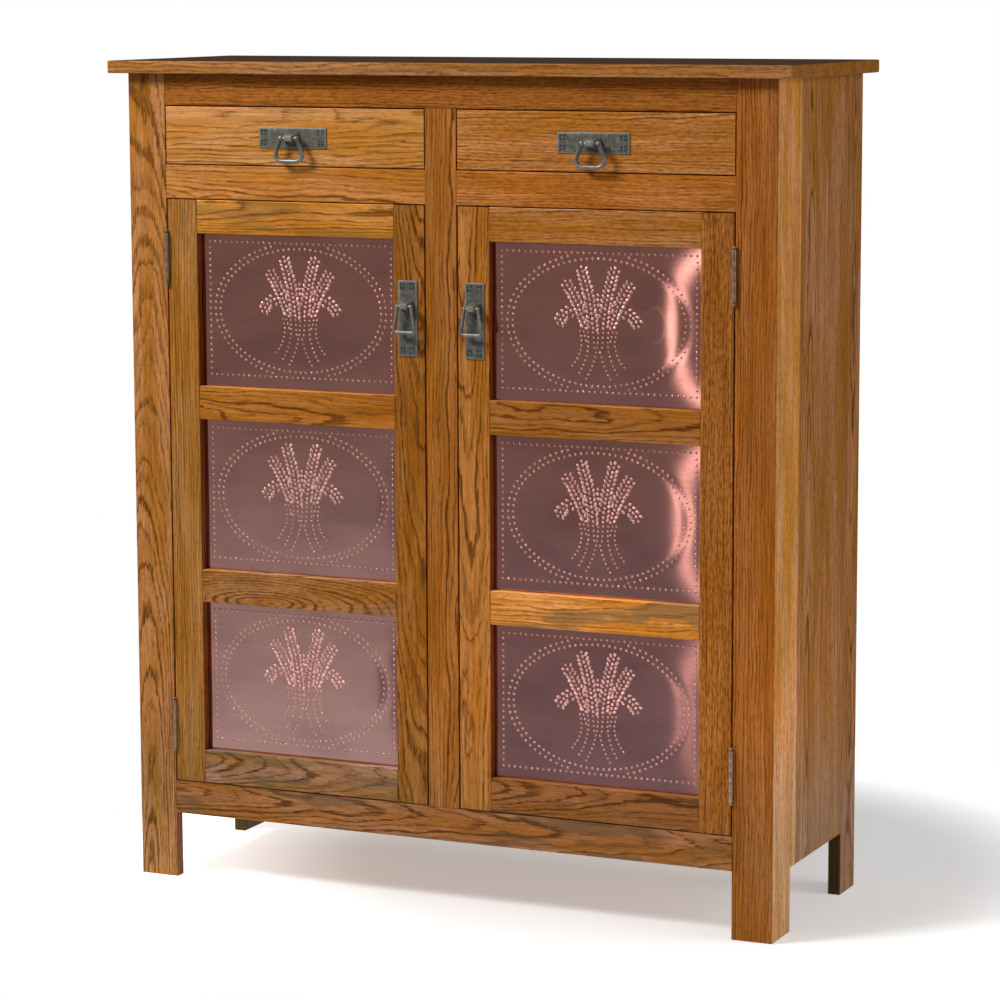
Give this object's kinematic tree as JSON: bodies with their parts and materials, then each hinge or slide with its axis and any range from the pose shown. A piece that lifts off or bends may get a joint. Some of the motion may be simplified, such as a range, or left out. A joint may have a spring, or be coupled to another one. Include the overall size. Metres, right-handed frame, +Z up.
{
  "type": "pie safe",
  "caption": "Oak pie safe: a cupboard on plain feet, with hinged doors of raised-dot copper panels below sliding drawers, dark bail pulls and inner shelves.",
  "frame": {"origin": "middle of the base, on the floor between the feet", "axes": "+X to the right seen from the front, +Y to the back, +Z up"},
  "size_m": [1.1028, 0.391, 1.27],
  "materials": {
    "oak": "stained and varnished oak",
    "plywood": "varnished plywood",
    "drawer_wood": "clear-finished hardwood",
    "copper": "brushed copper sheet",
    "pull_iron": "dark pewter-toned casting",
    "hinge_steel": "antiqued steel",
    "fixing_steel": "plain steel",
    "catch_plastic": "brown plastic"
  },
  "bodies": {
    "carcass": {"top_board": "oak", "left_side": "oak", "right_side": "oak", "back_panel": "plywood", "bottom_board": "oak", "left_post": "oak", "right_post": "oak", "center_stile": "oak", "top_rail": "oak", "mid_rails": "oak", "bottom_rail": "oak", "drawer_deck": "oak", "shelves": "oak", "drawer_runners": "drawer_wood", "shelf_pins": "fixing_steel", "frame_hinge_leaves": "hinge_steel", "hinge_pins": "hinge_steel", "frame_hinge_screws": "fixing_steel", "door_catches": "catch_plastic"},
    "left_door": {"left_door_hinge_stile": "oak", "left_door_pull_stile": "oak", "left_door_top_rail": "oak", "left_door_mid_rails": "oak", "left_door_bottom_rail": "oak", "left_door_upper_panel": "copper", "left_door_middle_panel": "copper", "left_door_lower_panel": "copper", "left_door_panel_stops": "oak", "left_door_hinge_leaves": "hinge_steel", "left_door_fasteners": "fixing_steel", "left_door_strike": "fixing_steel", "left_door_pull_plate": "pull_iron"},
    "left_drawer": {"left_drawer_front": "oak", "left_drawer_box": "drawer_wood", "left_drawer_bottom": "plywood", "left_drawer_pull_plate": "pull_iron", "left_drawer_pull_bolt": "fixing_steel"},
    "left_door_bail": {"left_door_bail": "pull_iron"},
    "left_drawer_bail": {"left_drawer_bail": "pull_iron"},
    "right_door": {"right_door_hinge_stile": "oak", "right_door_pull_stile": "oak", "right_door_top_rail": "oak", "right_door_mid_rails": "oak", "right_door_bottom_rail": "oak", "right_door_upper_panel": "copper", "right_door_middle_panel": "copper", "right_door_lower_panel": "copper", "right_door_panel_stops": "oak", "right_door_hinge_leaves": "hinge_steel", "right_door_fasteners": "fixing_steel", "right_door_strike": "fixing_steel", "right_door_pull_plate": "pull_iron"},
    "right_drawer": {"right_drawer_front": "oak", "right_drawer_box": "drawer_wood", "right_drawer_bottom": "plywood", "right_drawer_pull_plate": "pull_iron", "right_drawer_pull_bolt": "fixing_steel"},
    "right_door_bail": {"right_door_bail": "pull_iron"},
    "right_drawer_bail": {"right_drawer_bail": "pull_iron"}
  },
  "joints": [
    {"name": "left_door_hinge", "type": "hinge", "parent": "carcass", "child": "left_door", "pos_m": [-0.4617, -0.18, 0.608], "axis": [0, 0, -1], "range_deg": [0, 180]},
    {"name": "left_drawer_slide", "type": "slide", "parent": "carcass", "child": "left_drawer", "axis": [0, -1, 0], "range_m": [0, 0.29]},
    {"name": "left_door_bail_pivot", "type": "hinge", "parent": "left_door", "child": "left_door_bail", "pos_m": [-0.0546, -0.19, 0.9114], "axis": [-1, 0, 0], "range_deg": [-12, 95]},
    {"name": "left_drawer_bail_pivot", "type": "hinge", "parent": "left_drawer", "child": "left_drawer_bail", "pos_m": [-0.244, -0.19, 1.1565], "axis": [-1, 0, 0], "range_deg": [-12, 95]},
    {"name": "right_door_hinge", "type": "hinge", "parent": "carcass", "child": "right_door", "pos_m": [0.4617, -0.18, 0.608], "axis": [0, 0, 1], "range_deg": [0, 180]},
    {"name": "right_drawer_slide", "type": "slide", "parent": "carcass", "child": "right_drawer", "axis": [0, -1, 0], "range_m": [0, 0.29]},
    {"name": "right_door_bail_pivot", "type": "hinge", "parent": "right_door", "child": "right_door_bail", "pos_m": [0.0546, -0.19, 0.9114], "axis": [-1, 0, 0], "range_deg": [-12, 95]},
    {"name": "right_drawer_bail_pivot", "type": "hinge", "parent": "right_drawer", "child": "right_drawer_bail", "pos_m": [0.244, -0.19, 1.1565], "axis": [-1, 0, 0], "range_deg": [-12, 95]}
  ]
}
